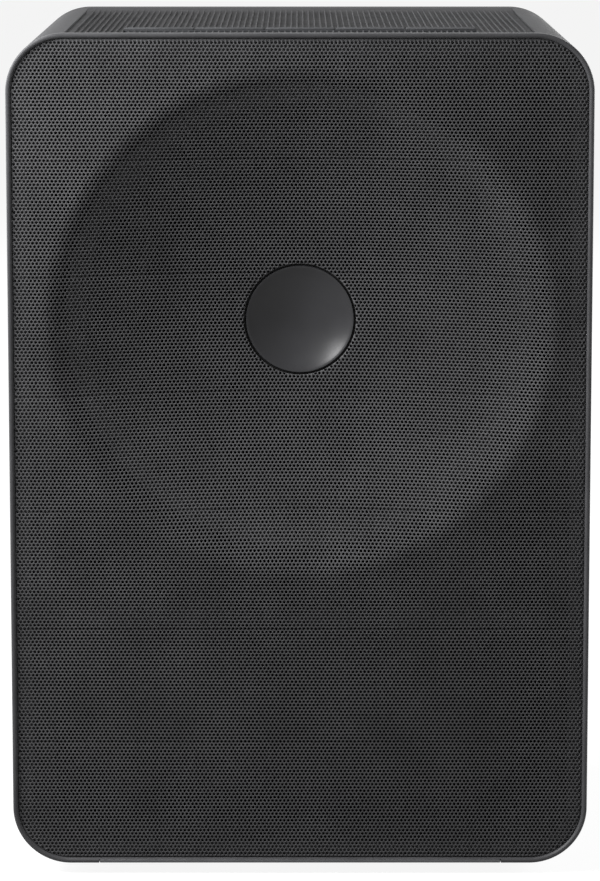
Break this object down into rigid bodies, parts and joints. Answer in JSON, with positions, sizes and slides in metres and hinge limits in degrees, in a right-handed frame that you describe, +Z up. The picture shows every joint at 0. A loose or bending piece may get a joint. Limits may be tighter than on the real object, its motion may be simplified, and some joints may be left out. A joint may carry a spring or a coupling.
{
  "type": "subwoofer",
  "caption": "Upright ported subwoofer with a dished perforated front grille, a centre cup, a ribbed top panel and a rear amplifier plate.",
  "frame": {"origin": "on the floor, below the centre of the bounding box", "axes": "+Z up, +X to the right seen from the front, +Y towards the rear, so that the grille faces -Y"},
  "size_m": [0.25, 0.21, 0.3676],
  "materials": {
    "frame": "satin, fine moulded texture",
    "trim": "satin dark",
    "housing": "matte charcoal",
    "top_ribs": "satin, ribbed",
    "top_bar": "satin",
    "grille": "powder coated, perforated",
    "cup": "satin",
    "inner_plastic": "matte",
    "rubber": "matte",
    "board_wood": "bare fibreboard",
    "board_black": "fibreboard, painted matt black",
    "cone_paper": "pressed pulp",
    "basket": "black, pressed steel",
    "former": "thin sheet",
    "copper": "enamelled copper wire",
    "spider_cloth": "resin-treated cloth",
    "zinc_steel": "zinc plated",
    "ferrite": "ground ferrite",
    "black_screws": "black",
    "amp_paint": "fine powder coat",
    "circuit": "solder resist",
    "standoff": "plain",
    "winding": "laminated core with taped winding",
    "can": "sleeved can",
    "button": "satin",
    "light": "clear light guide",
    "wire": "insulated wire",
    "wadding": "loose polyester wadding"
  },
  "bodies": {
    "cabinet": {"front_frame": "frame", "lower_trim": "trim", "cabinet_shell": "housing", "top_panel": "top_ribs", "top_bar": "top_bar", "grille_sheet": "grille", "grille_frame": "inner_plastic", "grille_grommets": "rubber", "grille_cup": "cup", "cup_retainer": "inner_plastic", "baffle": "board_black", "baffle_screws": "black_screws", "driver_gasket": "rubber", "driver_basket": "basket", "driver_surround": "rubber", "spider": "spider_cloth", "front_plate": "zinc_steel", "magnet": "ferrite", "back_plate": "zinc_steel", "driver_screws": "black_screws", "driver_terminals": "copper", "port_tube": "inner_plastic", "port_flare": "inner_plastic", "rear_cover": "housing", "rear_screws": "black_screws", "amp_plate": "amp_paint", "amp_screws": "black_screws", "amp_board": "circuit", "board_standoffs": "standoff", "board_screws": "zinc_steel", "transformer": "winding", "capacitors": "can", "amp_chip": "inner_plastic", "heatsink": "zinc_steel", "wireless_module": "circuit", "power_inlet": "inner_plastic", "inlet_pins": "zinc_steel", "tact_switch": "inner_plastic", "led_chip": "light", "light_pipe": "light", "wire_connector": "inner_plastic", "speaker_wires": "wire", "cabinet_brace": "board_wood", "damping_pads": "wadding", "rubber_feet": "rubber", "foot_screws": "black_screws"},
    "cone_assembly": {"driver_cone": "cone_paper", "dust_cap": "cone_paper", "coil_former": "former", "voice_coil": "copper"},
    "button": {"pairing_button": "button", "switch_plunger": "button"}
  },
  "joints": [
    {"name": "cone_stroke", "type": "slide", "parent": "cabinet", "child": "cone_assembly", "axis": [0, -1, 0], "range_m": [-0.006, 0.006], "stiffness_N_per_m": 2000, "deforming": ["driver_surround", "spider"]},
    {"name": "pairing_press", "type": "slide", "parent": "cabinet", "child": "button", "axis": [0, -1, 0], "range_m": [0, 0.0006], "stiffness_N_per_m": 600}
  ]
}
